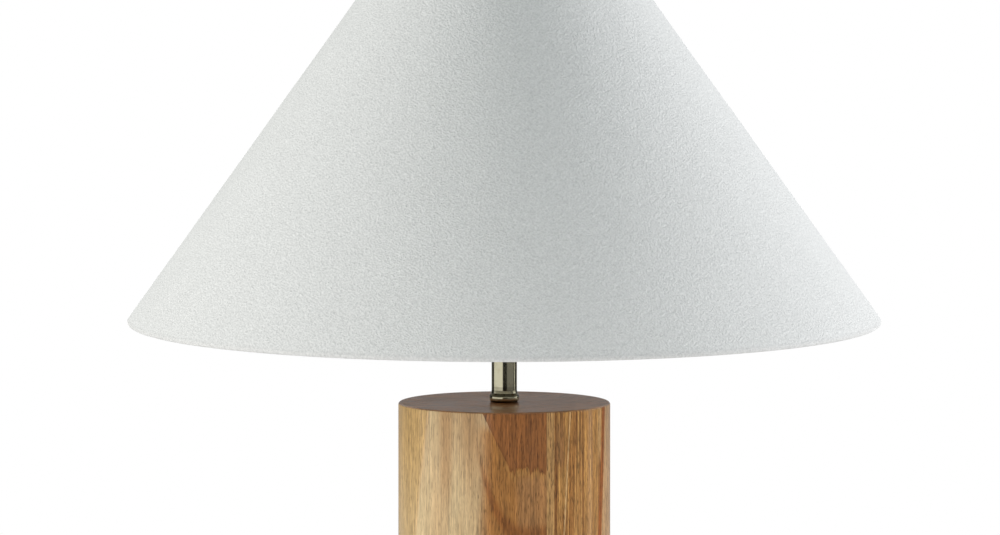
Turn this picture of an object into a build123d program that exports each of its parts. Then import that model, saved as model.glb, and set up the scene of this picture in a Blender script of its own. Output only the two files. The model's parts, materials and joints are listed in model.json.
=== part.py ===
from build123d import *
import os
from math import atan, cos, sin, sqrt

# A column table lamp: a turned wooden column, a brass neck, a harp and a wide cone shade.
# Millimetres, +Z up, with the origin on the table under the middle of the felt pad.
# The switch knob points to the front, -Y, and the cord comes in at the back, +Y.

INCH = 25.4

# Column, with the recess and the weight under it
FELT_RADIUS = 54.5
FELT_THICKNESS = 2.0
COLUMN_RADIUS = 4.5 * INCH / 2
COLUMN_HEIGHT = 8.5 * INCH
COLUMN_TOP_EDGE = 1.3
COLUMN_FOOT_EDGE = 0.8
COLUMN_BORE = 5.2
RECESS_RADIUS = 43.0
RECESS_DEPTH = 32.0
WEIGHT_RADIUS = 42.0
WEIGHT_THICKNESS = 14.0
WEIGHT_EDGE = 1.5

# Threaded pipe that holds the stack together, and its washer and nut
PIPE_RADIUS = 4.85
PIPE_WALL = 1.3
PIPE_FOOT = 10.0
THREAD_GAP = 0.1
WASHER_RADIUS = 14.0
WASHER_THICKNESS = 2.0
NUT_ACROSS_FLATS = 9 / 16 * INCH
NUT_HEIGHT = 5.5

# Cord inlet low in the back of the column
INLET_HEIGHT = 11.0
INLET_BORE = 3.5
INLET_BODY_RADIUS = 5.2
INLET_INNER_END = 42.5
INLET_FLANGE_RADIUS = 8.0
INLET_FLANGE_THICKNESS = 1.6
INLET_FLANGE_EDGE = 0.6
SPOTFACE_RADIUS = 8.4
SPOTFACE_DEPTH = 0.75

# Brass collar bead and neck between the column and the harp saddle
BEAD_RADIUS = 8.1
BEAD_HEIGHT = 4.9
BEAD_SHOULDER = 7.1
NECK_RADIUS = 6.85
NECK_FLARE = 7.15
NECK_FLARE_HEIGHT = 1.6
NECK_WALL = 0.9

# Shade: a cone of fabric on a styrene liner, its edges rolled over two wire rings
RIM_ABOVE_COLUMN = 42.1
SHADE_BOTTOM_RADIUS = 16 * INCH / 2
SHADE_TOP_RADIUS = 4 * INCH / 2
SHADE_HEIGHT = 217.6
FABRIC_THICKNESS = 0.6
LINER_THICKNESS = 0.8
RING_WIRE_RADIUS = 1.2
RING_GAP = 0.05
HEM_WIDTH = 9.0

# Spider: the hub and the three dropped arms that carry the shade
SPIDER_DROP = 12.7
HUB_RADIUS = 13.0
HUB_BORE = 4.0
HUB_THICKNESS = 3.6
HUB_EDGE = 0.6
ARM_RADIUS = 1.6
ARM_LEVEL_END = 21.0
ARM_BEND = 12.0
ARM_NOTCH_GAP = 0.15
ARM_ANGLES = (90, 210, 330)

# Harp, its saddle and the sleeves that lock it
HARP_HEIGHT = 8.5 * INCH
HARP_WIRE_RADIUS = 1.7
HARP_LEG_X = 30.0
HARP_LEG_STRAIGHT = 33.0
HARP_WIDEST_X = 57.0
HARP_LOW_SHOULDER = 82.0
HARP_HIGH_SHOULDER = 150.0
HARP_CORNER_X = 47.0
HARP_BENDS = (55.0, 60.0, 75.0, 40.0)
HARP_CROWN_DROP = 8.5
HARP_SEAT_GAP = 0.1
HARP_LEG_CHAMFER = 0.4
SADDLE_THICKNESS = 1.2
SADDLE_CENTRE_RADIUS = 11.0
SADDLE_ARM_HALF_WIDTH = 4.0
SADDLE_ARM_INSET = 6.0
SADDLE_BEND_INSIDE = 0.5
EAR_HALF_WIDTH = 2.4
EAR_HEIGHT = 12.0
EAR_GAP = 0.15
SLEEVE_BORE = 3.6
SLEEVE_RADIUS = 4.4
SLEEVE_HEIGHT = 14.0
SLEEVE_LIP = 0.5
STUD_RADIUS = 0.25 * INCH / 2
STUD_LENGTH = 17.0
STUD_BARREL_RADIUS = 4.6
SHOULDER_RADIUS = 9.0
SHOULDER_THICKNESS = 1.8
HUB_WASHER_RADIUS = 9.5
HUB_WASHER_BORE = 3.5
HUB_WASHER_THICKNESS = 1.0

# Finial on the harp's stud
FINIAL_BORE = 3.27
FINIAL_BASE_RADIUS = 8.0
FINIAL_BASE_HEIGHT = 11.0
FINIAL_FOOT_HEIGHT = 3.0
FINIAL_FOOT_BULGE = 0.5
FINIAL_WAIST = 4.6
FINIAL_COLLAR_HEIGHT = 2.2
FINIAL_KNOB_RADIUS = 8.5
FINIAL_TIP_RADIUS = 2.6
FINIAL_TIP_RISE = 1.5
FINIAL_STUD_ROOM = 3.6
FINIAL_STUD_HEADROOM = 1.0

# Lamp socket; heights are above the saddle
CAP_HUB_RADIUS = 7.0
CAP_HUB_HEIGHT = 6.0
CAP_RADIUS = 17.0
CAP_DOME_TOP = 17.0
CAP_HEIGHT = 22.0
CAP_WALL = 0.7
SHELL_RADIUS = 16.2
SHELL_FOOT = 19.0
SHELL_TOP = 60.0
SHELL_WALL = 0.5
SHELL_BEAD_HEIGHT = 3.0
SHELL_BEAD_DEPTH = 0.9
INSULATOR_RADIUS = 15.6
INSULATOR_FOOT = 20.0
INSULATOR_TOP = 58.0
CORE_RADIUS = 13.5
CORE_FOOT = 15.0
CORE_TOP = 31.0
SCREW_SHELL_RADIUS = 14.0
SCREW_SHELL_WALL = 0.6
SCREW_SHELL_TOP = 57.0
CONTACT_HOLE = 6.0
CONTACT_RADIUS = 4.0
CONTACT_THICKNESS = 0.6
CONTACT_LEAF_RISE = 1.6
TERMINAL_HEIGHT = 20.0
TERMINAL_HEAD_RADIUS = 2.6
TERMINAL_HEAD_THICKNESS = 1.4
TERMINAL_SLOT = 0.6
TERMINAL_FLAT_HALF_WIDTH = 3.2
TERMINAL_FLAT_DEPTH = 0.6

# Switch: a shaft out of the front of the socket, with a fluted knob
SWITCH_HEIGHT = 26.5
SWITCH_SHAFT_RADIUS = 2.0
SWITCH_SHAFT_INNER = 9.0
SWITCH_SHAFT_OUTER = 38.0
SWITCH_HOLE = 2.6
KNOB_RADIUS = 6.2
KNOB_NEAR = 25.0
KNOB_FAR = 40.0
KNOB_FLUTES = 14
KNOB_FLUTE_RADIUS = 0.9
KNOB_COLLAR = 3.0
KNOB_COLLAR_RADIUS = 4.2
KNOB_EDGE = 1.2

# Lamp bulb, A19 on a medium screw base; heights are above the saddle
BULB_TIP_FOOT = 33.3
BULB_TIP_RADIUS = 4.5
BULB_TIP_HEIGHT = 1.8
BULB_BASE_RADIUS = 13.0
BULB_BASE_FOOT = 35.1
BULB_BASE_CONE = 3.5
BULB_BASE_TOP = 59.0
BULB_RADIUS = 30.0
BULB_NECK_RADIUS = 12.4
BULB_LENGTH = 110.0
GLASS_THICKNESS = 1.0

# Worked out from the sizes above
COLUMN_TOP = FELT_THICKNESS + COLUMN_HEIGHT
RECESS_TOP = FELT_THICKNESS + RECESS_DEPTH
WEIGHT_FOOT = RECESS_TOP - WEIGHT_THICKNESS
RIM_Z = COLUMN_TOP + RIM_ABOVE_COLUMN
ROLL_RADIUS = RING_WIRE_RADIUS + FABRIC_THICKNESS
BOTTOM_RING_RADIUS = SHADE_BOTTOM_RADIUS - ROLL_RADIUS
BOTTOM_RING_Z = RIM_Z + ROLL_RADIUS
TOP_RING_RADIUS = SHADE_TOP_RADIUS - ROLL_RADIUS
TOP_RING_Z = RIM_Z + SHADE_HEIGHT - ROLL_RADIUS
RING_RISE = TOP_RING_Z - BOTTOM_RING_Z
RING_INSET = BOTTOM_RING_RADIUS - TOP_RING_RADIUS
CONE_LEAN = atan(RING_INSET / RING_RISE)
SLOPE_LENGTH = RING_RISE / cos(CONE_LEAN)
HUB_FOOT = TOP_RING_Z - SPIDER_DROP - HUB_THICKNESS / 2
HUB_TOP = HUB_FOOT + HUB_THICKNESS
HARP_SHOULDER_Z = HUB_FOOT - HUB_WASHER_THICKNESS
STUD_TOP = HARP_SHOULDER_Z + STUD_LENGTH
SADDLE_TOP = HARP_SHOULDER_Z - HARP_HEIGHT
NECK_TOP = SADDLE_TOP - SADDLE_THICKNESS
BEAD_TOP = COLUMN_TOP + BEAD_HEIGHT
SLEEVE_X = HARP_LEG_X + (EAR_GAP + SADDLE_THICKNESS) / 2
SWITCH_Z = SADDLE_TOP + SWITCH_HEIGHT
SPOTFACE_Y = COLUMN_RADIUS - SPOTFACE_DEPTH

UPWARDS = (Align.CENTER, Align.CENTER, Align.MIN)


def disc(radius, low, high):
    """A round solid about the lamp's axis, between two heights."""
    return Pos(0, 0, low) * Cylinder(radius, high - low, align=UPWARDS)


def tube(outer, inner, low, high):
    """A round wall about the lamp's axis."""
    return disc(outer, low, high) - disc(inner, low, high)


def turned(outline):
    """A solid turned about the lamp's axis from a closed outline of radius and height."""
    return revolve(Plane.XZ * make_face(outline), axis=Axis.Z)


def top_edges(solid):
    """The edges at the highest level of a solid."""
    return solid.edges().group_by(Axis.Z)[-1]


def bottom_edges(solid):
    """The edges at the lowest level of a solid."""
    return solid.edges().group_by(Axis.Z)[0]


def to_the_back(solid):
    """Turns an upright solid so that it points out of the back at the cord inlet."""
    return Pos(0, 0, INLET_HEIGHT) * Rot(-90, 0, 0) * solid


def to_the_front(solid):
    """Turns an upright solid so that it points out of the front along the switch shaft."""
    return Pos(0, 0, SWITCH_Z) * Rot(90, 0, 0) * solid


# Column


def felt_pad():
    pad = disc(FELT_RADIUS, 0, FELT_THICKNESS)
    return fillet(bottom_edges(pad), FELT_THICKNESS / 4)


def wood_column():
    column = disc(COLUMN_RADIUS, FELT_THICKNESS, COLUMN_TOP)
    column = fillet(top_edges(column), COLUMN_TOP_EDGE)
    column = fillet(bottom_edges(column), COLUMN_FOOT_EDGE)
    column -= disc(RECESS_RADIUS, FELT_THICKNESS, RECESS_TOP)
    column -= disc(COLUMN_BORE, RECESS_TOP, COLUMN_TOP)
    column -= to_the_back(disc(INLET_BODY_RADIUS, 0, COLUMN_RADIUS))
    column -= to_the_back(disc(SPOTFACE_RADIUS, SPOTFACE_Y, COLUMN_RADIUS + SPOTFACE_RADIUS))
    return column


def base_weight():
    weight = disc(WEIGHT_RADIUS, WEIGHT_FOOT, RECESS_TOP)
    weight = fillet(bottom_edges(weight), WEIGHT_EDGE)
    return weight - disc(COLUMN_BORE, WEIGHT_FOOT, RECESS_TOP)


def base_washer():
    return tube(WASHER_RADIUS, PIPE_RADIUS + THREAD_GAP, WEIGHT_FOOT - WASHER_THICKNESS, WEIGHT_FOOT)


def base_nut():
    top = WEIGHT_FOOT - WASHER_THICKNESS
    hexagon = RegularPolygon(NUT_ACROSS_FLATS / 2, 6, major_radius=False)
    nut = Pos(0, 0, top - NUT_HEIGHT) * extrude(hexagon, NUT_HEIGHT)
    return nut - disc(PIPE_RADIUS + THREAD_GAP, top - NUT_HEIGHT, top)


def threaded_pipe():
    return tube(PIPE_RADIUS, PIPE_RADIUS - PIPE_WALL, PIPE_FOOT, SADDLE_TOP + CAP_HUB_HEIGHT)


def cord_bushing():
    flange_outer = SPOTFACE_Y + INLET_FLANGE_THICKNESS
    flange = disc(INLET_FLANGE_RADIUS, SPOTFACE_Y, flange_outer)
    flange = fillet(top_edges(flange), INLET_FLANGE_EDGE)
    body = disc(INLET_BODY_RADIUS, INLET_INNER_END, SPOTFACE_Y)
    return to_the_back(flange + body - disc(INLET_BORE, INLET_INNER_END, flange_outer))


# Neck


def collar_bead():
    middle = COLUMN_TOP + BEAD_HEIGHT / 2
    bore = PIPE_RADIUS + THREAD_GAP
    foot, shoulder = (BEAD_SHOULDER, COLUMN_TOP), (BEAD_SHOULDER, BEAD_TOP)
    outline = [
        Line((bore, COLUMN_TOP), foot),
        ThreePointArc(foot, (BEAD_RADIUS, middle), shoulder),
        Line(shoulder, (bore, BEAD_TOP)),
        Line((bore, BEAD_TOP), (bore, COLUMN_TOP)),
    ]
    return turned(outline)


def neck_tube():
    bore = NECK_RADIUS - NECK_WALL
    outline = Polyline(
        (bore, BEAD_TOP),
        (NECK_FLARE, BEAD_TOP),
        (NECK_RADIUS, BEAD_TOP + NECK_FLARE_HEIGHT),
        (NECK_RADIUS, NECK_TOP - NECK_FLARE_HEIGHT),
        (NECK_FLARE, NECK_TOP),
        (bore, NECK_TOP),
        close=True,
    )
    return turned(outline)


# Socket


def at_socket(height):
    """Height above the saddle, as a height above the table."""
    return SADDLE_TOP + height


def front_hole():
    """The way that the switch shaft takes through the socket's walls."""
    return to_the_front(disc(SWITCH_HOLE, 0, CAP_RADIUS + CAP_WALL))


def socket_cap():
    hub = disc(CAP_HUB_RADIUS, at_socket(0), at_socket(CAP_HUB_HEIGHT))
    foot, rim = at_socket(CAP_HUB_HEIGHT - CAP_WALL), at_socket(CAP_DOME_TOP)
    top = at_socket(CAP_HEIGHT)
    inner_foot, inner_radius = foot + CAP_WALL, CAP_RADIUS - CAP_WALL
    inner_start = PIPE_RADIUS + THREAD_GAP
    dome = [
        Line((inner_start, foot), (CAP_HUB_RADIUS, foot)),
        TangentArc((CAP_RADIUS, rim), (CAP_HUB_RADIUS, foot), tangent=(0, -1)),
        Line((CAP_RADIUS, rim), (CAP_RADIUS, top)),
        Line((CAP_RADIUS, top), (inner_radius, top)),
        Line((inner_radius, top), (inner_radius, rim)),
        TangentArc((inner_radius, rim), (CAP_HUB_RADIUS, inner_foot), tangent=(0, -1)),
        Line((CAP_HUB_RADIUS, inner_foot), (inner_start, inner_foot)),
        Line((inner_start, inner_foot), (inner_start, foot)),
    ]
    bore = disc(inner_start, at_socket(0), at_socket(CAP_HUB_HEIGHT))
    return hub + turned(dome) - bore


def socket_shell():
    foot, top = at_socket(SHELL_FOOT), at_socket(SHELL_TOP)
    bead_foot = top - SHELL_BEAD_HEIGHT
    bead_middle = top - SHELL_BEAD_HEIGHT / 2
    inner = SHELL_RADIUS - SHELL_WALL
    outline = [
        Line((inner, foot), (SHELL_RADIUS, foot)),
        Line((SHELL_RADIUS, foot), (SHELL_RADIUS, bead_foot)),
        ThreePointArc(
            (SHELL_RADIUS, bead_foot), (SHELL_RADIUS + SHELL_BEAD_DEPTH, bead_middle), (SHELL_RADIUS, top)
        ),
        Line((SHELL_RADIUS, top), (inner, top)),
        Line((inner, top), (inner, foot)),
    ]
    return turned(outline) - front_hole()


def socket_insulator():
    inner = INSULATOR_RADIUS - SHELL_WALL
    sleeve = tube(INSULATOR_RADIUS, inner, at_socket(INSULATOR_FOOT), at_socket(INSULATOR_TOP))
    return sleeve - front_hole()


def terminal_places():
    """Both sides of the socket's core, pointing outwards."""
    height = at_socket(TERMINAL_HEIGHT)
    return [Pos(side * CORE_RADIUS, 0, height) * Rot(0, side * 90, 0) for side in (-1, 1)]


def terminal_screws():
    screw = disc(TERMINAL_HEAD_RADIUS, 0, TERMINAL_HEAD_THICKNESS)
    slot = Box(TERMINAL_SLOT, 3 * TERMINAL_HEAD_RADIUS, 2 * TERMINAL_SLOT)
    screw -= Pos(0, 0, TERMINAL_HEAD_THICKNESS) * slot
    screw += disc(TERMINAL_HEAD_RADIUS / 2, -3 * TERMINAL_HEAD_THICKNESS, 0)
    return Compound(children=[place * screw for place in terminal_places()])


def socket_core():
    core = disc(CORE_RADIUS, at_socket(CORE_FOOT), at_socket(CORE_TOP))
    core -= to_the_front(disc(SWITCH_SHAFT_RADIUS + THREAD_GAP, SWITCH_SHAFT_INNER - 1, CAP_RADIUS))
    flat = Box(2 * TERMINAL_FLAT_HALF_WIDTH, 2 * TERMINAL_FLAT_HALF_WIDTH, 2 * TERMINAL_FLAT_DEPTH)
    for place in terminal_places():
        core -= place * flat
    return core - terminal_screws()


def screw_shell():
    foot, top = at_socket(CORE_TOP), at_socket(SCREW_SHELL_TOP)
    wall = tube(SCREW_SHELL_RADIUS, SCREW_SHELL_RADIUS - SCREW_SHELL_WALL, foot, top)
    return wall + tube(SCREW_SHELL_RADIUS, CONTACT_HOLE, foot, foot + SCREW_SHELL_WALL)


def centre_contact():
    foot = at_socket(CORE_TOP)
    plate = disc(CONTACT_RADIUS, foot, foot + CONTACT_THICKNESS)
    thickness = CONTACT_THICKNESS / 2
    leaf_points = Polyline(
        (-CONTACT_RADIUS / 2, foot),
        (CONTACT_RADIUS * 0.6, foot + CONTACT_LEAF_RISE),
        (CONTACT_RADIUS * 0.6, foot + CONTACT_LEAF_RISE + thickness),
        (-CONTACT_RADIUS / 2, foot + CONTACT_THICKNESS + thickness),
        close=True,
    )
    leaf = extrude(Plane.XZ * make_face(leaf_points), CONTACT_RADIUS / 2, both=True)
    return plate + leaf


def switch_shaft():
    return to_the_front(disc(SWITCH_SHAFT_RADIUS, SWITCH_SHAFT_INNER, SWITCH_SHAFT_OUTER))


def switch_knob():
    knob = disc(KNOB_RADIUS, KNOB_NEAR + KNOB_COLLAR, KNOB_FAR)
    knob = fillet(top_edges(knob), KNOB_EDGE)
    flute = Pos(KNOB_RADIUS, 0, 0) * disc(KNOB_FLUTE_RADIUS, KNOB_NEAR, KNOB_FAR)
    for place in PolarLocations(0, KNOB_FLUTES):
        knob -= place * flute
    knob += disc(KNOB_COLLAR_RADIUS, KNOB_NEAR, KNOB_NEAR + KNOB_COLLAR)
    return to_the_front(knob - disc(SWITCH_SHAFT_RADIUS, KNOB_NEAR, SWITCH_SHAFT_OUTER))


# Bulb


def bulb_tip():
    foot = at_socket(BULB_TIP_FOOT)
    tip = disc(BULB_TIP_RADIUS, foot, foot + BULB_TIP_HEIGHT)
    return fillet(bottom_edges(tip), BULB_TIP_HEIGHT / 3)


def bulb_base():
    foot, top = at_socket(BULB_BASE_FOOT), at_socket(BULB_BASE_TOP)
    outline = Polyline(
        (0, foot),
        (BULB_TIP_RADIUS, foot),
        (BULB_BASE_RADIUS, foot + BULB_BASE_CONE),
        (BULB_BASE_RADIUS, top),
        (0, top),
        close=True,
    )
    return turned(outline)


def bulb_outline(inset):
    """Half the outline of the glass, drawn inset from its outer face."""
    foot = at_socket(BULB_BASE_TOP)
    neck, widest = BULB_NECK_RADIUS - inset, BULB_RADIUS - inset
    widest_z = at_socket(BULB_TIP_FOOT + BULB_LENGTH - BULB_RADIUS)
    middle = ((neck + widest) / 2, (foot + widest_z) / 2)
    return [
        Line((0, foot), (neck, foot)),
        TangentArc((neck, foot), middle, tangent=(0, 1)),
        TangentArc((widest, widest_z), middle, tangent=(0, -1)),
        TangentArc((widest, widest_z), (0, widest_z + widest), tangent=(0, 1)),
        Line((0, widest_z + widest), (0, foot)),
    ]


def bulb_glass():
    foot = at_socket(BULB_BASE_TOP)
    hollow = turned(bulb_outline(GLASS_THICKNESS))
    floor = disc(BULB_NECK_RADIUS, foot, foot + GLASS_THICKNESS)
    return turned(bulb_outline(0)) - (hollow - floor)


# Harp


def saddle_outline():
    """The bent strap from the front: level between the legs, an ear outside each leg."""
    inner = HARP_LEG_X + HARP_WIRE_RADIUS + EAR_GAP
    outer = inner + SADDLE_THICKNESS
    top, foot, ear = SADDLE_TOP, NECK_TOP, SADDLE_TOP + EAR_HEIGHT
    points = [(-outer, ear), (-outer, foot), (outer, foot), (outer, ear)]
    points += [(inner, ear), (inner, top), (-inner, top), (-inner, ear)]
    outside = SADDLE_THICKNESS + SADDLE_BEND_INSIDE
    radii = [0.0, outside, outside, 0.0, 0.0, SADDLE_BEND_INSIDE, SADDLE_BEND_INSIDE, 0.0]
    return FilletPolyline(*points, radius=radii, close=True)


def harp_saddle():
    strap = extrude(Plane.XZ * make_face(saddle_outline()), SADDLE_CENTRE_RADIUS, both=True)
    reach = 2 * (HARP_LEG_X + HARP_WIRE_RADIUS + EAR_GAP + SADDLE_THICKNESS)
    plan = Circle(SADDLE_CENTRE_RADIUS)
    plan += Rectangle(reach - 2 * SADDLE_ARM_INSET, 2 * SADDLE_ARM_HALF_WIDTH)
    plan += Rectangle(reach, 2 * EAR_HALF_WIDTH)
    saddle = strap & (Pos(0, 0, NECK_TOP) * extrude(plan, EAR_HEIGHT + SADDLE_THICKNESS))
    return saddle - disc(PIPE_RADIUS + THREAD_GAP, NECK_TOP, SADDLE_TOP)


def harp_half():
    """Right half of the wire: up the leg, out to its widest, and in over the bulb."""
    foot = SADDLE_TOP + HARP_SEAT_GAP
    crown = HARP_SHOULDER_Z - HARP_CROWN_DROP
    points = [
        (HARP_LEG_X, foot),
        (HARP_LEG_X, SADDLE_TOP + HARP_LEG_STRAIGHT),
        (HARP_WIDEST_X, SADDLE_TOP + HARP_LOW_SHOULDER),
        (HARP_WIDEST_X, SADDLE_TOP + HARP_HIGH_SHOULDER),
        (HARP_CORNER_X, crown),
        (0, crown),
    ]
    route = Plane.XZ * FilletPolyline(*points, radius=HARP_BENDS)
    wire = Plane(origin=route @ 0, z_dir=route % 0) * Circle(HARP_WIRE_RADIUS)
    half = sweep(wire, path=route)
    return chamfer(bottom_edges(half), HARP_LEG_CHAMFER)


def harp_loop():
    half = harp_half()
    return half + mirror(half, about=Plane.YZ)


def harp_stud():
    """The barrel on the crown of the wire, its shoulder, and the stud for the finial."""
    crown = HARP_SHOULDER_Z - HARP_CROWN_DROP
    shoulder_foot = HARP_SHOULDER_Z - SHOULDER_THICKNESS
    barrel = disc(STUD_BARREL_RADIUS, crown - 2 * HARP_WIRE_RADIUS, shoulder_foot)
    barrel = fillet(bottom_edges(barrel), HARP_WIRE_RADIUS / 2)
    shoulder = disc(SHOULDER_RADIUS, shoulder_foot, HARP_SHOULDER_Z)
    stud = disc(STUD_RADIUS, HARP_SHOULDER_Z, STUD_TOP)
    stud = chamfer(top_edges(stud), STUD_RADIUS / 4)
    return barrel + shoulder + stud - harp_loop()


def harp_sleeve(side):
    foot = SADDLE_TOP + HARP_SEAT_GAP
    sleeve = disc(SLEEVE_RADIUS, foot, foot + SLEEVE_HEIGHT)
    sleeve = fillet(top_edges(sleeve), SLEEVE_LIP)
    return Pos(side * SLEEVE_X, 0, 0) * (sleeve - disc(SLEEVE_BORE, foot, foot + SLEEVE_HEIGHT))


def hub_washer():
    return tube(HUB_WASHER_RADIUS, HUB_WASHER_BORE, HARP_SHOULDER_Z, HUB_FOOT)


# Shade


def wall_section():
    """Plane across the shade's wall: x outwards through it, y up its slope, from the bottom ring."""
    outwards = (cos(CONE_LEAN), 0, sin(CONE_LEAN))
    return Plane(origin=(BOTTOM_RING_RADIUS, 0, BOTTOM_RING_Z), x_dir=outwards, z_dir=(0, -1, 0))


def rolled_edge(centre, way):
    """Two arcs of cloth round a ring at centre on the slope, and the turned-in hem inside the liner."""
    lined = RING_WIRE_RADIUS - LINER_THICKNESS
    hem_end = centre - way * HEM_WIDTH
    arcs = []
    for radius, face in ((ROLL_RADIUS, lined - FABRIC_THICKNESS), (RING_WIRE_RADIUS, lined)):
        arcs.append(ThreePointArc((radius, centre), (0, centre + way * radius), (-radius, centre)))
        arcs.append(Line((-radius, centre), (face, hem_end)))
    arcs.append(Line((lined - FABRIC_THICKNESS, hem_end), (lined, hem_end)))
    return arcs


def shade_fabric():
    faces = [Line((x, 0), (x, SLOPE_LENGTH)) for x in (ROLL_RADIUS, RING_WIRE_RADIUS)]
    outline = faces + rolled_edge(0, -1) + rolled_edge(SLOPE_LENGTH, 1)
    cloth = revolve(wall_section() * make_face(outline), axis=Axis.Z)
    for angle in ARM_ANGLES:
        cloth -= spider_arm(angle, ARM_RADIUS + ARM_NOTCH_GAP)
    return cloth


def shade_liner():
    start, end = RING_WIRE_RADIUS + RING_GAP, SLOPE_LENGTH - RING_WIRE_RADIUS - RING_GAP
    outer, inner = RING_WIRE_RADIUS, RING_WIRE_RADIUS - LINER_THICKNESS
    sheet = Polyline((inner, start), (outer, start), (outer, end), (inner, end), close=True)
    return revolve(wall_section() * make_face(sheet), axis=Axis.Z)


def bottom_ring():
    return Pos(0, 0, BOTTOM_RING_Z) * Torus(BOTTOM_RING_RADIUS, RING_WIRE_RADIUS - RING_GAP)


def top_ring():
    return Pos(0, 0, TOP_RING_Z) * Torus(TOP_RING_RADIUS, RING_WIRE_RADIUS - RING_GAP)


def spider_hub():
    hub = disc(HUB_RADIUS, HUB_FOOT, HUB_TOP)
    hub = fillet(top_edges(hub) + bottom_edges(hub), HUB_EDGE)
    return hub - disc(HUB_BORE, HUB_FOOT, HUB_TOP)


def spider_arm(angle, radius=ARM_RADIUS):
    """One arm: level out of the hub, then up to the top ring."""
    middle = (HUB_FOOT + HUB_TOP) / 2
    points = [(HUB_RADIUS - HUB_EDGE, middle), (ARM_LEVEL_END, middle), (TOP_RING_RADIUS, TOP_RING_Z)]
    route = Plane.XZ * FilletPolyline(*points, radius=ARM_BEND)
    wire = Plane(origin=route @ 0, z_dir=route % 0) * Circle(radius)
    return Rot(0, 0, angle) * sweep(wire, path=route)


def spider_arms():
    arms = [spider_arm(angle) - spider_hub() - top_ring() for angle in ARM_ANGLES]
    return Compound(children=[arm.solids().sort_by(SortBy.VOLUME)[-1] for arm in arms])


# Finial


def finial_base():
    """A tapped round foot with a cove up to the knob."""
    foot, top = HUB_TOP, HUB_TOP + FINIAL_BASE_HEIGHT
    edge = (FINIAL_BASE_RADIUS, foot)
    bulge = (FINIAL_BASE_RADIUS + FINIAL_FOOT_BULGE, foot + FINIAL_FOOT_HEIGHT / 2)
    cove = (FINIAL_BASE_RADIUS - FINIAL_FOOT_BULGE, foot + FINIAL_FOOT_HEIGHT)
    outline = [
        Line((FINIAL_BORE, foot), edge),
        ThreePointArc(edge, bulge, cove),
        TangentArc((FINIAL_WAIST, top), cove, tangent=(0, -1)),
        Line((FINIAL_WAIST, top), (FINIAL_BORE, top)),
        Line((FINIAL_BORE, top), (FINIAL_BORE, foot)),
    ]
    return turned(outline)


def finial_knob():
    """A ball with a rounded collar under it and a small ball for a tip."""
    foot = HUB_TOP + FINIAL_BASE_HEIGHT
    collar_top = foot + FINIAL_COLLAR_HEIGHT
    collar_edge = (FINIAL_WAIST + FINIAL_COLLAR_HEIGHT / 2, foot + FINIAL_COLLAR_HEIGHT / 2)
    collar = [
        Line((0, foot), (FINIAL_WAIST, foot)),
        ThreePointArc((FINIAL_WAIST, foot), collar_edge, (FINIAL_WAIST, collar_top)),
        Line((FINIAL_WAIST, collar_top), (0, collar_top)),
        Line((0, collar_top), (0, foot)),
    ]
    ball_z = collar_top + sqrt(FINIAL_KNOB_RADIUS**2 - FINIAL_WAIST**2)
    tip_z = ball_z + FINIAL_KNOB_RADIUS + FINIAL_TIP_RISE
    knob = Pos(0, 0, ball_z) * Sphere(FINIAL_KNOB_RADIUS) + Pos(0, 0, tip_z) * Sphere(FINIAL_TIP_RADIUS)
    knob += turned(collar)
    return knob - disc(FINIAL_STUD_ROOM, foot, STUD_TOP + FINIAL_STUD_HEADROOM)


NODES = {
    "felt_pad": felt_pad,
    "wood_column": wood_column,
    "base_weight": base_weight,
    "base_washer": base_washer,
    "base_nut": base_nut,
    "threaded_pipe": threaded_pipe,
    "cord_bushing": cord_bushing,
    "collar_bead": collar_bead,
    "neck_tube": neck_tube,
    "harp_saddle": harp_saddle,
    "socket_cap": socket_cap,
    "socket_shell": socket_shell,
    "socket_insulator": socket_insulator,
    "socket_core": socket_core,
    "terminal_screws": terminal_screws,
    "screw_shell": screw_shell,
    "centre_contact": centre_contact,
    "switch_shaft": switch_shaft,
    "switch_knob": switch_knob,
    "bulb_tip": bulb_tip,
    "bulb_base": bulb_base,
    "bulb_glass": bulb_glass,
    "harp_loop": harp_loop,
    "harp_stud": harp_stud,
    "harp_sleeve_left": lambda: harp_sleeve(-1),
    "harp_sleeve_right": lambda: harp_sleeve(1),
    "hub_washer": hub_washer,
    "shade_fabric": shade_fabric,
    "shade_liner": shade_liner,
    "bottom_ring": bottom_ring,
    "top_ring": top_ring,
    "spider_hub": spider_hub,
    "spider_arms": spider_arms,
    "finial_base": finial_base,
    "finial_knob": finial_knob,
}

os.makedirs("parts", exist_ok=True)
for name, make in NODES.items():
    export_step(make(), f"parts/{name}.step")
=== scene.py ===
import json
from math import atan2, cos, degrees, hypot, pi, radians, sin

import bpy
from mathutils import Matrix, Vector, noise


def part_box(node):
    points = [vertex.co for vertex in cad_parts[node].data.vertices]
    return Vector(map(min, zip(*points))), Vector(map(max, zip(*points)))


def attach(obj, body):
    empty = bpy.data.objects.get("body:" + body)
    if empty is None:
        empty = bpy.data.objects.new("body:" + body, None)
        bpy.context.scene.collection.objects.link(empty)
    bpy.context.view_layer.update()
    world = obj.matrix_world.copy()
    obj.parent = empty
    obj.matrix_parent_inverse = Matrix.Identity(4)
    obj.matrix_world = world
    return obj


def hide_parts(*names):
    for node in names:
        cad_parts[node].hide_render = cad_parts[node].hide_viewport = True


# A column table lamp, dressed for rendering: cloth, lacquered wood, aged brass and the fittings inside.
# The shared frame has +Z up, the front at -Y, and its origin on the table under the lamp's axis.
# Lengths are in metres. The materials work in millimetres, and so do the sizes whose names end in _MM.

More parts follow.
